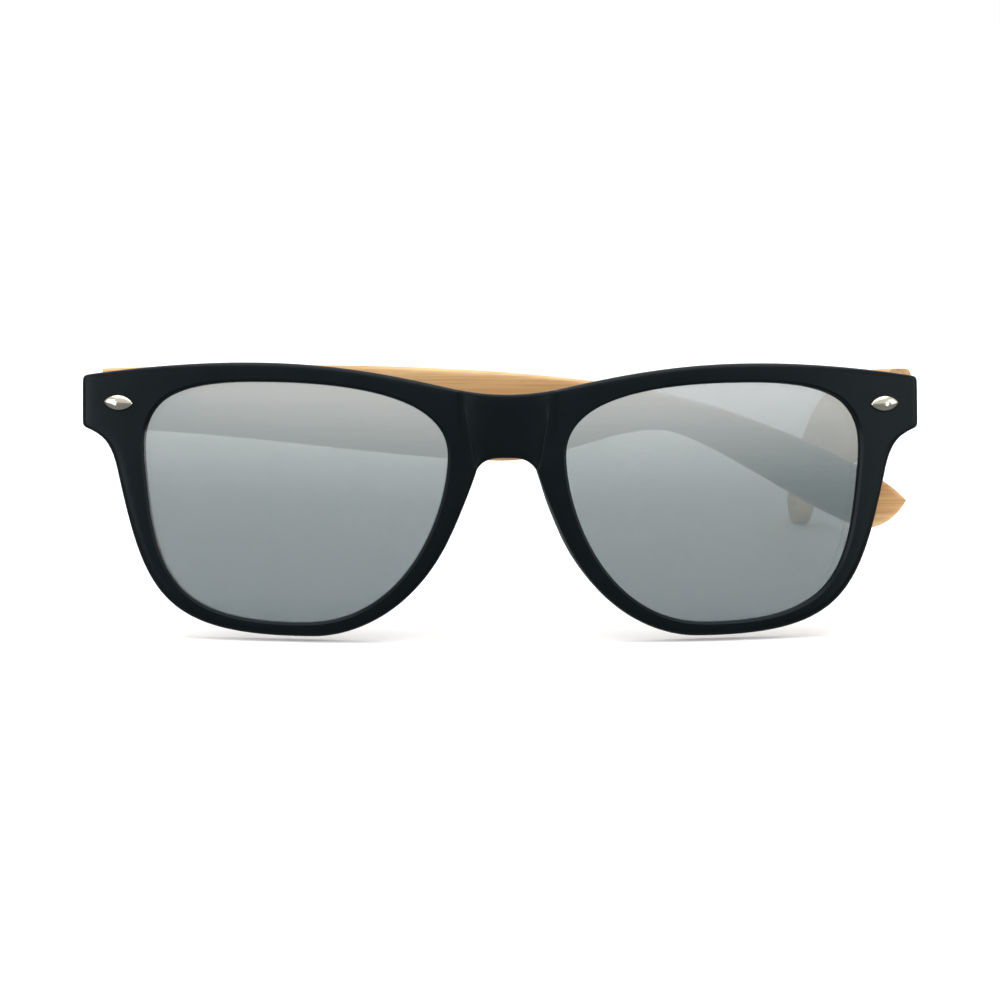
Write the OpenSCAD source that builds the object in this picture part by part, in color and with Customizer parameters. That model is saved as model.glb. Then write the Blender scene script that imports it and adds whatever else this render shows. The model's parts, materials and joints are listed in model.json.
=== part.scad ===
// Sunglasses with a moulded front, mirror lenses and folding bamboo temples.
// Millimetres, +Z up. The front faces -Y and the open temples run to +Y.
// The origin is the nose saddle, at the back of the bridge's underside.

/* [Front] */
// Height of the top edge's peak over the middle of the front
front_top = 23.7; // [22:0.1:25]
// Depth of the rims' lowest point under the middle of the front
front_bottom = 23.25; // [22:0.1:25]
// Radius of the sphere that the front and the lenses follow
face_r = 230; // [180:5:400]
// Thickness of the rims from front to back
rim_t = 4.2; // [3.6:0.1:5]
// Rounding of the rims' outer front edge
front_round = 1.1; // [0.5:0.1:1.3]
// Rounding of the rims' outer back edge
back_round = 0.8; // [0.4:0.1:1.1]
// Chamfer round the lens openings
lens_chamfer = 0.45; // [0.2:0.05:0.6]
// Extra depth of the moulded nose pads
pad_depth = 3.6; // [1:0.1:5]

/* [Bridge] */
// Half width of the recessed bridge panel at the top edge
panel_top = 7.65; // [7:0.05:8.5]
// Half width of the recessed bridge panel at the underside
panel_low = 5.7; // [5:0.1:6]
// Height of the bridge's top edge at the middle
bridge_top = 18.1; // [17:0.1:19]
// Height of the bridge's underside at the middle
bridge_low = 7.2; // [6:0.1:8]
// Depth of the panel's scoop at the middle
scoop = 1.8; // [0.8:0.1:2]
// Depth of the panel's edges behind the rims' front face
panel_depth = 0.15; // [0.1:0.05:0.8]

/* [Lenses] */
// Gap between the two lens openings
lens_gap = 20.2; // [19:0.1:22]
// Width of a lens opening
lens_w = 51.7; // [50:0.1:53]
// Height of a lens opening
lens_h = 41.3; // [40:0.1:42.5]
// Height of the openings' top over the middle of the front
lens_top = 20.4; // [20:0.1:21]
// Lens thickness
lens_t = 1.6; // [1.2:0.1:2]
// Depth of the lens face behind the rims' front face
lens_set = 1.1; // [0.8:0.1:1.5]
// Depth of the lens groove in the rim
groove = 0.9; // [0.6:0.05:1.1]
// Clearance between the lens and its groove
lens_gap_c = 0.04; // [0.02:0.01:0.1]

/* [Endpieces] */
// Width of an endpiece beyond the lens opening
end_w = 10.7; // [10:0.1:12]
// Height of the endpieces' top outer corner
end_top = 21.8; // [21:0.1:22.5]
// Height of the endpieces' lower outer corner
end_low = 12.5; // [11.5:0.1:13]
// Depth of the flat back faces that the temples close against
butt_y = 17; // [16:0.1:18]

/* [Studs] */
// Length of the almond-shaped studs
stud_l = 5.3; // [4:0.1:6]
// Height of the almond-shaped studs
stud_h = 2.8; // [2.4:0.1:3.2]
// Dome height over the front
stud_dome = 0.9; // [0.6:0.1:1.2]
// Distance of the studs from the endpieces' sides
stud_in = 6.25; // [5.5:0.05:7]
// Height of the studs over the middle of the front
stud_z = 16.8; // [16:0.1:18]
// Rise of the studs' outer ends in degrees
stud_tilt = 4; // [0:1:15]
// Depth of the studs' seats in the front
stud_seat = 0.25; // [0.2:0.05:0.4]
// Shank radius
stud_shank_r = 0.8; // [0.6:0.05:1]
// Shank length in the front
stud_shank = 2; // [1.5:0.1:2.2]

/* [Hinges] */
// Distance of the hinge axes from the endpieces' sides
hinge_in = 6; // [5.5:0.1:6.5]
// Distance of the hinge axes behind the endpieces' back faces
hinge_back = 3; // [2.8:0.1:3.5]
// Height of the hinges' middle over the middle of the front
hinge_z = 17; // [16.8:0.1:17.2]
// Knuckle radius
knuckle_r = 1.35; // [1.2:0.05:1.4]
// Height of the three knuckles together
knuckle_h = 7.2; // [6:0.1:7.4]
// Gap between neighbouring knuckles
knuckle_gap = 0.06; // [0.04:0.01:0.1]
// Hinge screw radius
pivot_r = 0.7; // [0.6:0.05:0.8]
// Radial running clearance of the hinge screw
pivot_c = 0.04; // [0.02:0.01:0.08]
// Thickness of the front leaf
leaf_t = 1.4; // [1:0.1:1.5]
// Depth of the front leaf in the endpiece
leaf_in = 2.4; // [2:0.1:3]
// Length of the temple leaf
plate_l = 13; // [12:0.5:16]
// Height of the temple leaf
plate_h = 4.4; // [4:0.1:5]
// Thickness of the temple leaf
plate_t = 1.0; // [0.8:0.1:1.1]
// Radius of the temple leaf's screws
wood_screw_r = 0.6; // [0.5:0.05:0.7]

/* [Temples] */
// Length from the hinge axis to the tip
temple_l = 137.5; // [130:0.5:150]
// Thickness of the bamboo
temple_t = 4; // [3.2:0.1:4.2]
// Distance of the bamboo's inner face from the hinge axis
temple_off = 1.5; // [1.45:0.05:1.8]
// Rounding of the bamboo's edges
temple_round = 1.1; // [0.4:0.1:1.5]
// Gap between an open temple and its endpiece
butt_gap = 0.15; // [0.1:0.05:0.3]
// Rise of the top edge at the hinge over the middle of the front
temple_top = 23.1; // [22.5:0.1:24]
// Height of the temple at the hinge
temple_h = 10.6; // [10:0.1:11.5]
// Height of the temple at the belly
belly_h = 16.2; // [14:0.1:17]
// Height of the lower edge at the neck over the middle of the front
neck_z = 12.4; // [11.5:0.1:13.5]
// Drop of the tip's point under the neck
tip_drop = 12.4; // [10:0.2:16]
// Drop of the tip's heel under its point
heel_drop = 4.6; // [3:0.1:6]

/* [Pose] */
// Fold angle of the wearer's left temple in degrees, open at 0
angle_left = 0; // [0:0.1:87.8]
// Fold angle of the wearer's right temple in degrees, open at 0
angle_right = 92.2; // [0:0.1:92.2]

/* [Hidden] */
$fn = 48;
cut = 1;
half_w = lens_gap / 2 + lens_w + end_w;
hinge_x = half_w - hinge_in;
stud_x = half_w - stud_in;
hinge_y = butt_y + hinge_back;

// Scales of the curves' own offsets, across and up the front
kx = lens_w / 51.7;
kz = lens_h / 41.3;

// Lens opening: nasal, top, temporal and bottom extremes
lx0 = lens_gap / 2;
lx1 = lx0 + lens_w;
lens_low = lens_top - lens_h;
l_nose = [lx0, lens_top - 0.306 * lens_h];
l_top = [lx0 + 0.646 * lens_w, lens_top];
l_side = [lx1, lens_top - 0.32 * lens_h];
l_low = [lx0 + 0.468 * lens_w, lens_low];

// Point of a cubic curve, given by its two ends and the two handles between them
function bez(c, t) = let (s = 1 - t)
    s * s * s * c[0] + 3 * s * s * t * c[1] + 3 * s * t * t * c[2] + t * t * t * c[3];

// Curves of the lens opening between its extremes
lens_curves = [
    [l_nose, l_nose + [0, 0.37 * (l_top.y - l_nose.y)],
     l_top - [0.9 * (l_top.x - l_nose.x), 0], l_top],
    [l_top, l_top + [0.86 * (l_side.x - l_top.x), 0],
     l_side + [0.04 * (l_side.x - l_top.x), 0.68 * (l_top.y - l_side.y)], l_side],
    [l_side, l_side - [0.06 * (l_side.x - l_low.x), 0.68 * (l_side.y - l_low.y)],
     l_low + [0.87 * (l_side.x - l_low.x), 0], l_low],
    [l_low, l_low - [0.71 * (l_low.x - l_nose.x), 0],
     l_nose - [0, 0.35 * (l_nose.y - l_low.y)], l_nose]
];
function lens_at(u) = bez(lens_curves[floor(u) % 4], u - floor(u));

// Outer edge of a rim, from the panel's top corner round to it again.
// Each row: where it starts on the lens opening, steps, edge rounding, curve.
o_panel = [panel_top, bridge_top + 0.6 * kz];
o_peak = [l_top.x + 1.5 * kx, front_top];
o_corner = [half_w - 0.9 * kx, end_top];
o_side = [half_w, end_top - kz];
o_low = [half_w, end_low + kz];
o_under = [half_w - 1.6 * kx, end_low - 0.35 * kz];
o_waist = [lx1 + 4.4 * kx, end_low - 8.4 * kz];
o_bottom = [l_low.x - 1.5 * kx, -front_bottom];
o_nose = [lx0 - 1.5 * kx, -4 * kz];
o_arch = [lx0 - 5 * kx, bridge_low - 1.9 * kz];
o_foot = [panel_low, bridge_low - 0.5 * kz];
// An offset of a curve's handle
function h(x, z) = [x * kx, z * kz];
rim_rows = [
    [0.45, 9, 1, [o_panel, o_panel + h(11.3, 2.7), o_peak - h(15, 0), o_peak]],
    [1, 7, 1, [o_peak, o_peak + h(9, 0), o_corner + h(-8.2, 1.1), o_corner]],
    [1.42, 3, 1, [o_corner, o_corner + h(0.6, -0.1), o_side + h(0, 0.6), o_side]],
    [1.52, 3, 1, [o_side, o_side - h(0, 2), o_low + h(0, 2), o_low]],
    [1.75, 4, 1, [o_low, o_low - h(0, 0.9), o_under + h(0.8, 0.4), o_under]],
    [1.85, 5, 1, [o_under, o_under - h(3, 1.2), o_waist + h(0.75, 4), o_waist]],
    [2.05, 16, 1, [o_waist, o_waist - h(4.5, 20.3), o_bottom + h(26, 0), o_bottom]],
    [3, 14, 1, [o_bottom, o_bottom - h(6.5, 0), o_nose + h(6.2, -15.4), o_nose]],
    [3.75, 5, 1, [o_nose, o_nose + h(-1.25, 3), o_arch + h(0.8, -2.8), o_arch]],
    [3.95, 2, 0.5, [o_arch, o_arch + h(-0.1, 0.5), o_foot - h(0.2, 0.5), o_foot]],
    [4, 6, 0.2, [o_foot, o_foot + h(0.6, 4), o_panel - h(0.6, 4), o_panel]]
];
// Where each row of the edge ends on the lens opening
function row_end(k) = k + 1 < len(rim_rows) ? rim_rows[k + 1][0] : 4.45;
// Stations round a rim: lens point, edge point, rounding, place on the lens opening
stations = [for (k = [0:len(rim_rows) - 1]) let (r = rim_rows[k], n = r[1])
    for (j = [0:n - 1]) let (t = j / n, u = r[0] + (row_end(k) - r[0]) * t)
        [lens_at(u), bez(r[3], t), r[2], u]];

// Depth of the face sphere at a point of the front
function bow(p) = face_r - sqrt(face_r * face_r - p.x * p.x - p.y * p.y);
function smooth(t) = let (c = min(1, max(0, t))) c * c * (3 - 2 * c);
// Share of an endpiece in the edge's depth, 1 at the side and 0 at the rim
function end_share(p) = smooth((p.x - lx1 - 4.8 * kx) / (3.5 * kx))
    * smooth((p.y - end_low + 3 * kz) / (3 * kz));
// Share of a nose pad in the depth, largest on the nose side under the arch
function pad_share(p) = smooth((lx0 + 8 * kx - p.x) / (8 * kx))
    * smooth((4 * kz - p.y) / (5 * kz)) * smooth((p.y + 16 * kz) / (8 * kz));
// Depth of the back face at a point of the front
function back_at(p) = let (b = rim_t + pad_depth * pad_share(p), e = end_share(p))
    b * (1 - e) + (butt_y - bow(p)) * e;

// A rim's section at a station: points as [distance from the lens edge, depth]
function section(w, k, back_m, back_o) =
    let (f = front_round * k, b = back_round * k, c = lens_chamfer,
         g0 = lens_set - lens_gap_c, g1 = lens_set + lens_t + lens_gap_c, m = 0.42 * w)
    concat(
        [[c, 0], [0, c], [0, g0], [groove, g0], [groove, g1], [0, g1], [0, rim_t - c], [c, rim_t]],
        [[m, back_m]],
        [for (a = [0:30:90]) [w - b + b * sin(a), back_o - b + b * cos(a)]],
        [for (a = [0:30:90]) [w - f + f * cos(a), f - f * sin(a)]],
        [[m, 0]]
    );
// The lens opening's outward direction at a place on it
function lens_out(u) = let (d = lens_at(u + 0.002) - lens_at(u - 0.002 + 4)) [-d.y, d.x] / norm(d);
// The first eight points lie square to the lens opening, the rest along the spoke
function rim_points() = [for (s = stations)
    let (d = s[1] - s[0], w = norm(d), e = d / w, o = lens_out(s[3]),
         pm = s[0] + e * 0.42 * w, q = section(w, s[2], back_at(pm), back_at(s[1])))
    for (i = [0:sec_n - 1]) let (p = s[0] + (i < 8 ? o : e) * q[i][0]) [p.x, bow(p) + q[i][1], p.y]];
sec_n = 18;
// Quads between neighbouring sections, each split into two triangles
function loop_faces(n, m, closed) = [for (i = [0:n - (closed ? 1 : 2)]) for (j = [0:m - 1])
    let (a = i * m + j, b = i * m + (j + 1) % m,
         c = ((i + 1) % n) * m + (j + 1) % m, d = ((i + 1) % n) * m + j)
    for (f = [[a, b, c], [a, c, d]]) f];

// The same with a cap on each end
function tube_faces(n, m) = concat(loop_faces(n, m, false),
    [[for (j = [m - 1:-1:0]) j], [for (j = [0:m - 1]) (n - 1) * m + j]]);
// Faces wound the other way
function turned(faces) = [for (f = faces) [for (k = [len(f) - 1:-1:0]) f[k]]];

// Rounded rectangle between two corners, as a ring of sixteen points
function rounded(x0, x1, z0, z1, r) = [for (q = [0:3]) for (a = [0:30:90])
    let (cx = (q == 0 || q == 3) ? x1 - r : x0 + r, cz = q < 2 ? z1 - r : z0 + r)
    [cx + r * cos(q * 90 + a), cz + r * sin(q * 90 + a)]];

// Bridge: sections along X
bridge_n = 33;
bridge_x = lx0 - 1.9 * kx;
function bridge_z0(x) = bridge_low - (bridge_low - o_arch.y) * pow(min(1.1, abs(x) / o_arch.x), 3.7);
function bridge_z1(x) = bridge_top + 0.75 * kz * pow(x / bridge_x, 2);
function bridge_y0(x) = panel_depth + (scoop - panel_depth) * (1 - pow(min(1, abs(x) / panel_top), 2));
bridge_points = [for (i = [0:bridge_n - 1]) let (x = bridge_x * (2 * i / (bridge_n - 1) - 1))
    for (v = rounded(bridge_y0(x), 0.98 * rim_t, bridge_z0(x), bridge_z1(x), 0.19 * rim_t))
        [x, bow([x, bridge_low]) + v.x, v.y]];

// Temple edges, as distance behind the hinge axis and height
t_end = butt_gap - hinge_back;
tz0 = temple_top - temple_h;
tip_z = neck_z - tip_drop;
// Scales of the temples' own offsets, along and up them
kl = temple_l / 137.5;
kh = temple_h / 10.6;
upper = [
    [[t_end, temple_top], [40 * kl, temple_top + 1.5 * kh], [78 * kl, temple_top + 0.4 * kh],
     [100 * kl, temple_top - 5.5 * kh]],
    [[100 * kl, temple_top - 5.5 * kh], [113 * kl, temple_top - 8.9 * kh],
     [134 * kl, tip_z + 5.2 * kh], [temple_l, tip_z]]
];
belly = [66 * kl, temple_top - belly_h];
neck = [94 * kl, neck_z];
heel = [129 * kl, tip_z - heel_drop];
lower = [
    [[t_end, tz0], [20 * kl, tz0 - 0.3 * kh], belly + [-21 * kl, 0.6 * kh], belly],
    [belly, belly + [10 * kl, -0.3 * kh], neck - [9 * kl, 0], neck],
    [neck, neck + [7.5 * kl, 0], heel + [-11 * kl, 4.2 * kh], heel],
    [heel, heel + [3.4 * kl, -1.2 * kh], [temple_l - 1.2 * kl, tip_z - 3 * kh], [temple_l, tip_z]]
];
// Stretches of the temple: lower curve, steps, and the stretch of the upper edge over it
temple_rows = [[0, 12, 0, 0.6], [1, 11, 0.6, 0.92], [2, 14, 0.92, 1.7], [3, 10, 1.7, 2]];
function upper_at(u) = let (k = min(1, floor(u))) bez(upper[k], u - k);
temple_stations = concat([for (r = temple_rows) for (j = [0:r[1] - 1])
    let (t = j / r[1]) [bez(lower[r[0]], t), upper_at(r[2] + (r[3] - r[2]) * t)]],
    [[bez(lower[3], 0.985), upper_at(1.997)]]);
temple_points = [for (s = temple_stations)
    let (d = s[1] - s[0], h = norm(d), e = d / h, r = min(temple_round, 0.45 * h))
    for (v = rounded(temple_off, temple_off + temple_t, 0, h, r))
        let (p = s[0] + e * v.y) [v.x, p.x, p.y]];

// The pose on a table: the rims' bottoms and the open tips' heels stand level
rim_foot = [bow(o_bottom) + rim_t - back_round / 2, -front_bottom];
tip_foot = [hinge_y + heel.x, heel.y];
lean = atan2(tip_foot.y - rim_foot.y, tip_foot.x - rim_foot.x);
saddle = [0, rim_t, bridge_low];

// Stand the drawing on a table, with the nose saddle at the origin
module stand() rotate([-lean, 0, 0]) translate(-saddle) children();
// The wearer's left side as drawn, or its mirror image
module side(right) { if (right) mirror([1, 0, 0]) children(); else children(); }
// From a hinge's own axis to its place, folded by an angle
module at_hinge(fold) translate([hinge_x, hinge_y, hinge_z]) rotate([0, 0, fold]) children();
function fold(right) = right ? angle_right : angle_left;

module rim() polyhedron(rim_points(), turned(loop_faces(len(stations), sec_n, true)), 4);

module bridge() polyhedron(bridge_points, turned(tube_faces(bridge_n, 16)), 4);

// Turns the drawing from the table of a stud to the front's face
module at_stud() translate([stud_x, bow([stud_x, stud_z]), stud_z])
    rotate([0, 0, asin(stud_x / face_r)]) rotate([-asin(stud_z / face_r), 0, 0])
    rotate([90, 0, 0]) rotate([0, 0, stud_tilt]) children();

// Almond outline of the studs, as a ring of points
function almond(grow) = [for (a = [0:10:350])
    [(stud_l / 2 + grow) * cos(a), (stud_h / 2 + grow) * sign(sin(a)) * pow(abs(sin(a)), 1.45)]];
// The stud's head: its seat, its rim and rings up the dome, each as height and size
head_rows = concat([[-stud_seat, 1]],
    [for (a = [0:15:75]) [stud_dome * (0.06 + 0.94 * sin(a)), cos(a)]], [[stud_dome, 0.06]]);
head_points = [for (r = head_rows) for (v = almond(0)) [v.x * r[1], v.y * r[1], r[0]]];

module front_frame() color([0.02, 0.025, 0.03]) difference() {
    union() {
        rim();
        mirror([1, 0, 0]) rim();
        bridge();
    }
    for (s = [false, true]) side(s) {
        at_stud() {
            translate([0, 0, -stud_seat]) linear_extrude(cut) polygon(almond(0.03));
            translate([0, 0, -stud_seat - stud_shank])
                cylinder(r = stud_shank_r + 0.01, h = stud_shank + cut);
        }
        at_hinge(0) translate([-leaf_t / 2 - 0.01, -hinge_back - leaf_in, -knuckle_h / 2 - 0.01])
            cube([leaf_t + 0.02, leaf_in + cut, knuckle_h + 0.02]);
    }
}

module lens() intersection() {
    difference() {
        translate([0, face_r + lens_set, 0]) sphere(r = face_r, $fn = 180);
        translate([0, face_r + lens_set + lens_t, 0]) sphere(r = face_r, $fn = 180);
    }
    translate([0, 2.4 * butt_y, 0]) rotate([90, 0, 0]) linear_extrude(3.6 * butt_y) polygon(lens_edge);
}
// Lens edge: the opening grown into the groove
lens_n = 64;
lens_edge = [for (i = [0:lens_n - 1])
    let (u = 4 * i / lens_n, p = lens_at(u), q = lens_at(u + 0.004), d = (q - p) / norm(q - p))
    p + (groove - 3 * lens_gap_c) * [-d.y, d.x]];

module stud() color([0.75, 0.72, 0.66]) at_stud() {
    translate([0, 0, -stud_seat - stud_shank]) cylinder(r = stud_shank_r, h = stud_shank + stud_seat / 2);
    polyhedron(head_points, turned(tube_faces(len(head_rows), 36)), 4);
}

function knuckle(k) = let (h = (knuckle_h - 2 * knuckle_gap) / 3) [-knuckle_h / 2 + k * (h + knuckle_gap), h];

module front_leaf() color([0.6, 0.6, 0.6]) at_hinge(0) difference() {
    union() {
        for (k = [0, 2]) translate([0, 0, knuckle(k)[0]]) {
            cylinder(r = knuckle_r, h = knuckle(k)[1]);
            translate([-leaf_t / 2, -hinge_back, 0]) cube([leaf_t, hinge_back, knuckle(k)[1]]);
        }
        translate([-leaf_t / 2, -hinge_back - leaf_in, -knuckle_h / 2])
            cube([leaf_t, leaf_in + hinge_back - 1.15 * knuckle_r, knuckle_h]);
    }
    translate([0, 0, -knuckle_h]) cylinder(r = pivot_r + pivot_c, h = 2 * knuckle_h);
}

module hinge_screw() color([0.7, 0.7, 0.7]) at_hinge(0) difference() {
    union() {
        translate([0, 0, -knuckle_h / 2]) cylinder(r = pivot_r, h = knuckle_h + 0.1);
        translate([0, 0, knuckle_h / 2]) cylinder(r = knuckle_r - 0.15, h = 0.7);
    }
    translate([-2, -0.15, knuckle_h / 2 + 0.4]) cube([4, 0.3, 1]);
}

screw_y = [0.42 * plate_l, 0.81 * plate_l];
module temple_leaf(f) color([0.6, 0.6, 0.6]) at_hinge(f) difference() {
    union() {
        translate([0, 0, knuckle(1)[0]]) {
            cylinder(r = knuckle_r, h = knuckle(1)[1]);
            translate([temple_off - plate_t, 0, 0]) cube([plate_t, 2.2 * knuckle_r, knuckle(1)[1]]);
        }
        translate([temple_off - plate_t, 1.5 * knuckle_r, -plate_h / 2])
            cube([plate_t, plate_l - 1.5 * knuckle_r, plate_h]);
    }
    translate([0, 0, -knuckle_h]) cylinder(r = pivot_r + pivot_c, h = 2 * knuckle_h);
    for (y = screw_y) translate([-1, y, 0]) rotate([0, 90, 0])
        cylinder(r = wood_screw_r + 0.02, h = 4);
}

module leaf_screw(f, k) color([0.7, 0.7, 0.7]) at_hinge(f)
    translate([temple_off - plate_t, screw_y[k], 0]) rotate([0, 90, 0]) difference() {
        union() {
            cylinder(r = wood_screw_r, h = plate_t + 0.6 * temple_t);
            translate([0, 0, -0.4]) cylinder(r = 1.7 * wood_screw_r, h = 0.4);
        }
        translate([-2, -0.12, -1.2]) cube([4, 0.24, 1]);
    }

module temple(f) color([0.78, 0.62, 0.43]) at_hinge(f) translate([0, 0, -hinge_z]) difference() {
    polyhedron(temple_points, tube_faces(len(temple_stations), 16), 4);
    for (y = screw_y) translate([0, y, hinge_z]) rotate([0, 90, 0])
        cylinder(r = wood_screw_r + 0.01, h = temple_off + 0.6 * temple_t);
}

stand() front_frame();
stand() color([0.6, 0.64, 0.65]) lens();  // lens_left
stand() color([0.6, 0.64, 0.65]) side(true) lens();  // lens_right
stand() stud();  // stud_left
stand() side(true) stud();  // stud_right
stand() front_leaf();  // front_leaf_left
stand() side(true) front_leaf();  // front_leaf_right
stand() hinge_screw();  // hinge_screw_left
stand() side(true) hinge_screw();  // hinge_screw_right
stand() temple_leaf(fold(false));  // temple_leaf_left
stand() side(true) temple_leaf(fold(true));  // temple_leaf_right
stand() temple(fold(false));  // temple_left
stand() side(true) temple(fold(true));  // temple_right
stand() leaf_screw(fold(false), 0);  // leaf_screw_left_front
stand() leaf_screw(fold(false), 1);  // leaf_screw_left_back
stand() side(true) leaf_screw(fold(true), 0);  // leaf_screw_right_front
stand() side(true) leaf_screw(fold(true), 1);  // leaf_screw_right_back
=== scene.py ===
"""Sunglasses with a moulded black front, mirror lenses and bamboo temples."""
import json
import math

import bpy
from mathutils import Matrix, Quaternion, Vector


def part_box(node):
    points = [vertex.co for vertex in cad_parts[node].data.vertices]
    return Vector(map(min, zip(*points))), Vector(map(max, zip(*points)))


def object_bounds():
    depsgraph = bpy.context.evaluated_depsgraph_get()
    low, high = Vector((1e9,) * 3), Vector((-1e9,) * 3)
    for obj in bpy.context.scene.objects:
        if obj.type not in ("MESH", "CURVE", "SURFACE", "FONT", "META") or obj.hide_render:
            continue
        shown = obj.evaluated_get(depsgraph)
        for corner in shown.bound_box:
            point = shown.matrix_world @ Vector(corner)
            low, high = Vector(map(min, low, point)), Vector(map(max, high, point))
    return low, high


# Edges up to this angle are shaded smooth
SMOOTH_ANGLE = math.radians(38)
# Edges over this angle stay hard where a node is subdivided
HARD_ANGLE = math.radians(40)
WELD_DISTANCE = 0.000004
# Nodes with long curved outlines, which get one level of subdivision
CURVED = ("front_frame", "temple_left", "temple_right")
# How far the right temple is folded at rest
FOLD_RIGHT = math.radians(92.2)
# Seeds that set the grain of the two temples apart
SEED_LEFT, SEED_RIGHT = 3.0, 41.0
WHITE = (1, 1, 1, 1)

# Camera: a little to the wearer's right, and raised by the front's lean
AZIMUTH = math.radians(-3.6)
ROLL = math.radians(0.45)
DISTANCE = 0.75
FRAME_WIDTH = 0.1716
SENSOR_MM = 36
TARGET = Vector((-0.0009, 0.00085, -0.0073))

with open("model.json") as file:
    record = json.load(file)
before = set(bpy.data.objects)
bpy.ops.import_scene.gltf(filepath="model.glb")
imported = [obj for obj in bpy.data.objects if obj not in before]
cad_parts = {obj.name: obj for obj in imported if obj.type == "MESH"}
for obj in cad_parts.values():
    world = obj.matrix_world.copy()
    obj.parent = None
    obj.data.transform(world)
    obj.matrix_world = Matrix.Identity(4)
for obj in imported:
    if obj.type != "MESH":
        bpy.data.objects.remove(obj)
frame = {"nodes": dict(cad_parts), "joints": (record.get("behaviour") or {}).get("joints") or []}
cad_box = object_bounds()
nodes = frame["nodes"]
scene = bpy.context.scene
floor_z = cad_box[0][2]

# The front leans back by the tilt of its hinge axes
hinge_axis = Vector(frame["joints"][0]["axis"]).normalized()
lean = math.atan2(hinge_axis.y, hinge_axis.z)


# Shader nodes

def new_material(name):
    m = bpy.data.materials.new(name)
    m.use_nodes = True
    return m, m.node_tree, m.node_tree.nodes["Principled BSDF"]


def add(tree, kind, **values):
    """A node with its inputs, or else its properties, set by name."""
    n = tree.nodes.new(kind)
    for key, value in values.items():
        if key in n.inputs:
            n.inputs[key].default_value = value
        else:
            setattr(n, key, value)
    return n


def object_coords(tree):
    return add(tree, "ShaderNodeTexCoord").outputs["Object"]


def noise(tree, vector, **values):
    n = add(tree, "ShaderNodeTexNoise", **values)
    tree.links.new(vector, n.inputs["Vector"])
    return n.outputs["Fac"]


def split(tree, vector):
    n = add(tree, "ShaderNodeSeparateXYZ")
    tree.links.new(vector, n.inputs[0])
    return n.outputs


def ramp(tree, fac, stops):
    n = tree.nodes.new("ShaderNodeValToRGB")
    els = n.color_ramp.elements
    while len(els) < len(stops):
        els.new(0.5)
    for el, (pos, col) in zip(els, stops):
        el.position = pos
        el.color = (*col, 1)
    tree.links.new(fac, n.inputs["Fac"])
    return n.outputs["Color"]


def map_range(tree, value, ends, limits):
    """The two ends of a value, mapped to two limits."""
    n = add(tree, "ShaderNodeMapRange")
    tree.links.new(value, n.inputs["Value"])
    for key, v in zip(("From Min", "From Max", "To Min", "To Max"), (*ends, *limits)):
        n.inputs[key].default_value = v
    return n.outputs["Result"]


def math_node(tree, op, a, b):
    n = tree.nodes.new("ShaderNodeMath")
    n.operation = op
    for i, v in enumerate((a, b)):
        if isinstance(v, (int, float)):
            n.inputs[i].default_value = v
        else:
            tree.links.new(v, n.inputs[i])
    return n.outputs[0]


def mix_color(tree, fac, a, b, blend="MIX"):
    n = tree.nodes.new("ShaderNodeMix")
    n.data_type = "RGBA"
    n.blend_type = blend
    for sock, v in ((n.inputs[0], fac), (n.inputs[6], a), (n.inputs[7], b)):
        if isinstance(v, (int, float)):
            sock.default_value = v
        elif isinstance(v, tuple):
            sock.default_value = (*v, 1)
        else:
            tree.links.new(v, sock)
    return n.outputs[2]


def bump(tree, shader, height, strength, distance):
    n = add(tree, "ShaderNodeBump", Strength=strength, Distance=distance)
    tree.links.new(height, n.inputs["Height"])
    tree.links.new(n.outputs[0], shader.inputs["Normal"])


def lin(r, g, b):
    """sRGB 0-255 to linear."""
    def f(v):
        v /= 255
        return v / 12.92 if v <= 0.04045 else ((v + 0.055) / 1.055) ** 2.4
    return f(r), f(g), f(b)


# Materials of the pieces

def satin_black():
    m, t, p = new_material("satin_black_moulding")
    co = object_coords(t)
    fine = noise(t, co, Scale=5200, Detail=3, Roughness=0.6)
    broad = noise(t, co, Scale=90, Detail=4, Roughness=0.55)
    col = ramp(t, broad, [(0.3, (0.002, 0.0036, 0.0047)), (0.7, (0.0032, 0.0052, 0.0066))])
    t.links.new(col, p.inputs["Base Color"])
    t.links.new(map_range(t, broad, (0, 1), (0.27, 0.35)), p.inputs["Roughness"])
    p.inputs["Specular IOR Level"].default_value = 0.13
    p.inputs["Specular Tint"].default_value = (0.78, 0.92, 1, 1)
    bump(t, p, fine, 0.05, 0.00004)
    return m


def mirror_lens():
    """Silver, with a painted reflection of overhead light that makes it lighter towards the top
    and darker towards its lower edge, with faint clouds.
    """
    m, t, p = new_material("silver_mirror_lens")
    co = object_coords(t)
    lo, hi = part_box("lens_left")
    # Painted reflection: the silver mirror colour is graded by height, lighter at the top and
    # darker at the bottom, standing in for the bright overhead light
    height = map_range(t, split(t, co)["Z"], (lo.z, hi.z), (0, 1))
    cloud = noise(t, co, Scale=35, Detail=2)
    wobble = math_node(t, "MULTIPLY", math_node(t, "SUBTRACT", cloud, 0.5), 0.06)
    silver_with_painted_top_light = ramp(t, math_node(t, "ADD", height, wobble),
                  [(0.08, (0.48, 0.612, 0.65)), (0.5, (0.585, 0.7, 0.712)),
                   (0.93, (0.92, 0.97, 0.975))])
    # The mirror coat is on the outer face, and the inner face is dark tinted plastic
    normal = add(t, "ShaderNodeTexCoord").outputs["Normal"]
    coat = math_node(t, "LESS_THAN", split(t, normal)["Y"], 0.0)
    col = mix_color(t, coat, (0.012, 0.014, 0.015), silver_with_painted_top_light)
    inner_alpha, coat_alpha = 0.76, 0.7
    thinner = math_node(t, "MULTIPLY", coat, inner_alpha - coat_alpha)
    alpha = math_node(t, "SUBTRACT", inner_alpha, thinner)
    t.links.new(col, p.inputs["Base Color"])
    t.links.new(coat, p.inputs["Metallic"])
    t.links.new(alpha, p.inputs["Alpha"])
    p.inputs["Roughness"].default_value = 0.06
    return m


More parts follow.
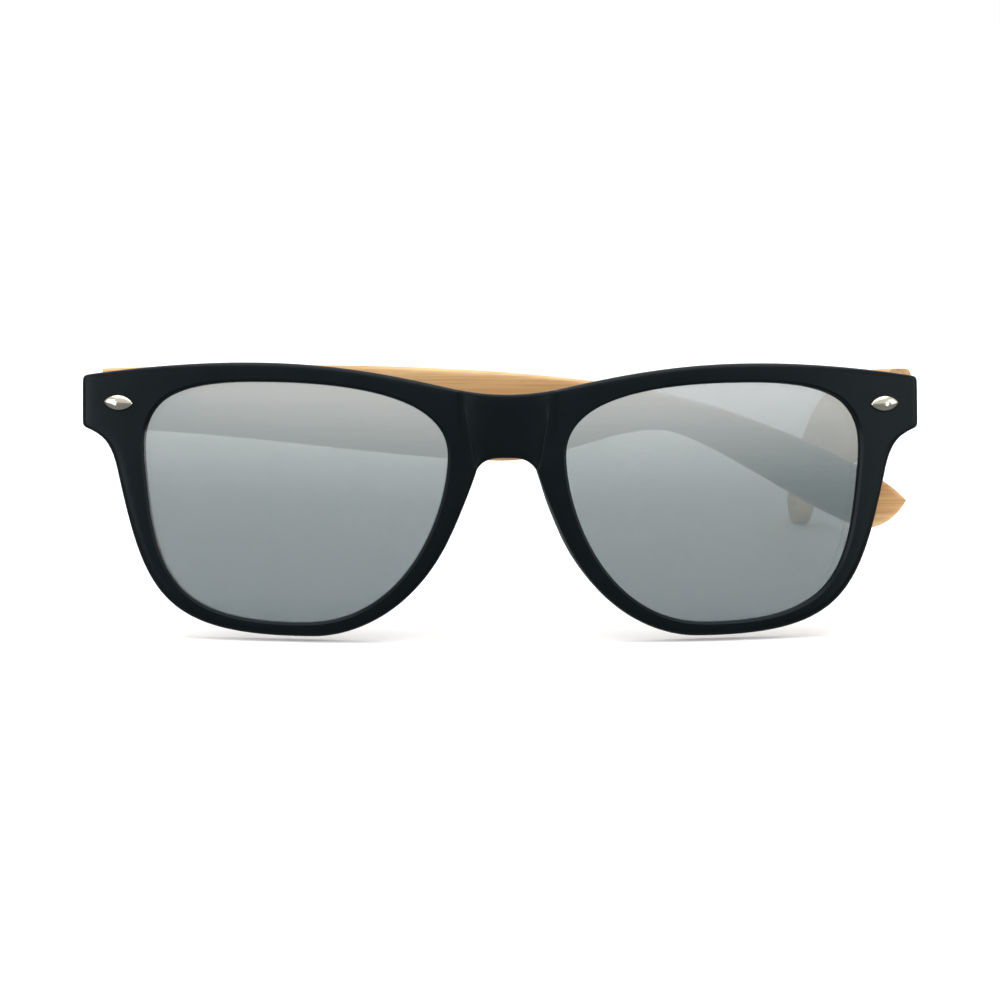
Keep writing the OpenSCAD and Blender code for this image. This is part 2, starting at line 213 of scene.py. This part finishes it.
def bamboo(name, length_axis, side_axis, origin, seed):
    """Bamboo with strips, long fibres, pores and broad patches along one axis."""
    m, t, p = new_material(name)
    sub = add(t, "ShaderNodeVectorMath", operation="SUBTRACT")
    t.links.new(object_coords(t), sub.inputs[0])
    sub.inputs[1].default_value = origin
    local = []
    for axis in (side_axis, length_axis, side_axis.cross(length_axis).normalized()):
        d = add(t, "ShaderNodeVectorMath", operation="DOT_PRODUCT")
        t.links.new(sub.outputs[0], d.inputs[0])
        d.inputs[1].default_value = axis
        local.append(d.outputs["Value"])

    def stretched(scales, offset=0.0):
        """Coordinates across, along and up the temple, each with its own scale."""
        c = add(t, "ShaderNodeCombineXYZ")
        for i, (v, k) in enumerate(zip(local, scales)):
            scaled = math_node(t, "MULTIPLY", v, k)
            t.links.new(math_node(t, "ADD", scaled, seed + offset), c.inputs[i])
        return c.outputs[0]

    fibre = noise(t, stretched((900, 22, 1500)), Scale=1, Detail=5, Roughness=0.6)
    strip = noise(t, stretched((180, 5, 330), 7), Scale=1, Detail=2, Roughness=0.5)
    pores = noise(t, stretched((1500, 32, 3200), 3), Scale=1, Detail=2, Roughness=0.5)
    broad = noise(t, stretched((30, 18, 60), 11), Scale=1, Detail=2)
    col = ramp(t, strip, [(0.3, lin(219, 169, 112)), (0.55, lin(235, 191, 135)),
                          (0.75, lin(243, 207, 154))])
    # Each layer darkens the strips: its strength, noise, darkest value, tint and end
    for strength, fac, start, dark, end in (
            (0.75, fibre, 0.36, (0.74, 0.66, 0.56), 0.56),
            (0.35, pores, 0.34, (0.5, 0.4, 0.3), 0.42),
            (0.7, broad, 0.35, (0.88, 0.84, 0.79), 0.6)):
        layer = ramp(t, fac, [(start, dark), (end, WHITE[:3])])
        col = mix_color(t, strength, col, layer, "MULTIPLY")
    t.links.new(col, p.inputs["Base Color"])
    t.links.new(map_range(t, fibre, (0, 1), (0.5, 0.36)), p.inputs["Roughness"])
    bump(t, p, math_node(t, "ADD", fibre, pores), 0.25, 0.00012)
    return m


def metal(name, base, rough, scale, grain):
    m, t, p = new_material(name)
    fac = noise(t, object_coords(t), Scale=scale, Detail=4, Roughness=0.6)
    col = ramp(t, fac, [(0.3, tuple(v * 0.9 for v in base)), (0.7, base)])
    t.links.new(col, p.inputs["Base Color"])
    t.links.new(map_range(t, fac, (0, 1), (rough * 0.8, rough * 1.2)), p.inputs["Roughness"])
    p.inputs["Metallic"].default_value = 1
    bump(t, p, fac, grain, 0.00003)
    return m


# Shading of the CAD nodes

def compare(group, value, operation, limit):
    n = group.nodes.new("FunctionNodeCompare")
    n.data_type = "FLOAT"
    n.operation = operation
    n.inputs[1].default_value = limit
    group.links.new(value, n.inputs[0])
    return n.outputs[0]


def smooth_group(level):
    """Smooth shading by angle, after some levels of subdivision with hard edges kept."""
    g = bpy.data.node_groups.new("smooth_by_angle", "GeometryNodeTree")
    for way in ("INPUT", "OUTPUT"):
        g.interface.new_socket("Geometry", in_out=way, socket_type="NodeSocketGeometry")
    gin = g.nodes.new("NodeGroupInput")
    gout = g.nodes.new("NodeGroupOutput")
    angle = g.nodes.new("GeometryNodeInputMeshEdgeAngle").outputs["Unsigned Angle"]
    faces = g.nodes.new("GeometryNodeSetShadeSmooth")
    faces.domain = "FACE"
    edges = g.nodes.new("GeometryNodeSetShadeSmooth")
    edges.domain = "EDGE"
    start = gin.outputs[0]
    if level:
        fine = g.nodes.new("GeometryNodeSubdivisionSurface")
        fine.inputs["Level"].default_value = level
        g.links.new(compare(g, angle, "GREATER_THAN", HARD_ANGLE), fine.inputs["Edge Crease"])
        g.links.new(start, fine.inputs["Mesh"])
        start = fine.outputs[0]
    g.links.new(start, faces.inputs["Geometry"])
    g.links.new(faces.outputs[0], edges.inputs["Geometry"])
    g.links.new(compare(g, angle, "LESS_EQUAL", SMOOTH_ANGLE), edges.inputs["Shade Smooth"])
    g.links.new(edges.outputs[0], gout.inputs[0])
    return g


def soften(obj, group):
    weld = obj.modifiers.new("weld", "WELD")
    weld.merge_threshold = WELD_DISTANCE
    obj.modifiers.new("smooth", "NODES").node_group = group


smooth = smooth_group(0)
finer = smooth_group(1)
black = satin_black()
lens = mirror_lens()
nickel = metal("polished_nickel", (0.74, 0.69, 0.58), 0.14, 700, 0.03)
steel = metal("hinge_steel", (0.5, 0.5, 0.51), 0.32, 2400, 0.08)

pivot = {j["child"]: Vector(j["pos_m"]) for j in frame["joints"]}
open_axis = Vector((0, hinge_axis.z, -hinge_axis.y))
folded = Matrix.Rotation(-FOLD_RIGHT, 3, hinge_axis)
wood_left = bamboo("bamboo_left", open_axis, Vector((1, 0, 0)),
                   pivot["left_temple"], SEED_LEFT)
wood_right = bamboo("bamboo_right", folded @ open_axis, folded @ Vector((-1, 0, 0)),
                    pivot["right_temple"], SEED_RIGHT)

FINISH = {"front_frame": black, "lens_left": lens, "lens_right": lens, "stud_left": nickel,
          "stud_right": nickel, "temple_left": wood_left, "temple_right": wood_right}
for name, obj in nodes.items():
    obj.data.materials.clear()
    obj.data.materials.append(FINISH.get(name, steel))
    soften(obj, finer if name in CURVED else smooth)


# Stage

def white_piece(name, verts, faces, base, rough, specular, glow):
    mesh = bpy.data.meshes.new(name)
    mesh.from_pydata(verts, [], faces)
    o = bpy.data.objects.new(name, mesh)
    scene.collection.objects.link(o)
    m, _, p = new_material("white_" + name)
    p.inputs["Base Color"].default_value = (base, base, base, 1)
    p.inputs["Roughness"].default_value = rough
    p.inputs["Specular IOR Level"].default_value = specular
    p.inputs["Emission Color"].default_value = WHITE
    p.inputs["Emission Strength"].default_value = glow
    mesh.materials.append(m)
    o.visible_glossy = False
    return o


def backdrop():
    """A white sweep: floor, curve and wall."""
    near, far, radius, height, half, steps = -1.6, 1.2, 0.5, 1.6, 2.2, 12
    prof = [(near, floor_z), (far, floor_z)]
    for i in range(1, steps + 1):
        a = math.pi / 2 * i / steps
        prof.append((far + radius * math.sin(a), floor_z + radius * (1 - math.cos(a))))
    prof.append((far + radius, floor_z + height))
    verts = [(x, y, z) for y, z in prof for x in (-half, half)]
    faces = [(2 * i, 2 * i + 1, 2 * i + 3, 2 * i + 2) for i in range(len(prof) - 1)]
    o = white_piece("sweep", verts, faces, base=0.92, rough=0.9, specular=0.1, glow=0.2)
    for f in o.data.polygons:
        f.use_smooth = True


def surround():
    """A plain white ring round the stage, which lights nothing."""
    radius, height, n = 1.5, 1.5, 64
    verts = []
    for i in range(n):
        a = 2 * math.pi * i / n
        x, y = radius * math.cos(a), radius * math.sin(a)
        verts += [(x, y, floor_z), (x, y, floor_z + height)]
    faces = [(2 * i, 2 * i + 1, (2 * i + 3) % (2 * n), (2 * i + 2) % (2 * n)) for i in range(n)]
    o = white_piece("surround", verts, faces, base=0, rough=0.5, specular=0, glow=1.0)
    o.visible_diffuse = o.visible_shadow = False


def area(name, pos, target, size, power):
    d = bpy.data.lights.new(name, "AREA")
    d.shape = "RECTANGLE"
    d.size, d.size_y = size
    d.energy = power
    o = bpy.data.objects.new(name, d)
    o.location = pos
    o.rotation_euler = (Vector(target) - Vector(pos)).to_track_quat("-Z", "Y").to_euler()
    scene.collection.objects.link(o)


def sky():
    """A studio that is dim at eye level and bright overhead, for the mirror lenses."""
    world = bpy.data.worlds.new("studio")
    scene.world = world
    world.use_nodes = True
    t = world.node_tree
    up = split(t, add(t, "ShaderNodeTexCoord").outputs["Generated"])["Z"]
    col = ramp(t, math_node(t, "ADD", math_node(t, "MULTIPLY", up, 0.5), 0.5), [
        (0.42, (0.25, 0.265, 0.27)), (0.475, (0.285, 0.3, 0.305)),
        (0.525, (0.31, 0.325, 0.33)), (0.57, (0.37, 0.385, 0.39)),
        (0.61, (0.52, 0.53, 0.53)), (0.66, (0.7, 0.7, 0.695)), (0.8, (0.82, 0.82, 0.81))])
    t.links.new(col, t.nodes["Background"].inputs["Color"])
    t.nodes["Background"].inputs["Strength"].default_value = 1.0


def camera():
    flat = math.cos(lean)
    away = Vector((math.sin(AZIMUTH) * flat, -math.cos(AZIMUTH) * flat, math.sin(lean)))
    cam = bpy.data.cameras.new("camera")
    cam.sensor_width = SENSOR_MM
    cam.lens = SENSOR_MM * DISTANCE / FRAME_WIDTH
    cam.clip_start = 0.01
    o = bpy.data.objects.new("camera", cam)
    o.location = TARGET + away * DISTANCE
    turn = (-away).to_track_quat("-Z", "Y") @ Quaternion((0, 0, 1), ROLL)
    o.rotation_euler = turn.to_euler()
    scene.collection.objects.link(o)
    scene.camera = o


backdrop()
surround()
area("top_softbox", (0, 0.1, 1.0), (0, 0.05, 0), (1.4, 1.2), 9)
area("left_softbox", (-0.98, -0.36, 0.3), (0, 0.02, 0), (0.6, 0.8), 4.0)
area("right_softbox", (1.0, -0.24, 0.3), (0, 0.02, 0), (0.6, 0.8), 2.6)
area("left_strip", (-0.74, -0.67, 0.12), (0, 0, 0), (0.14, 0.6), 0.9)
area("right_strip", (0.74, -0.67, 0.12), (0, 0, 0), (0.14, 0.6), 0.8)
area("wall_light", (0, 0.9, 0.9), (0, 1.7, 0.3), (1.8, 0.4), 2)
sky()
camera()
scene.view_settings.view_transform = "Standard"
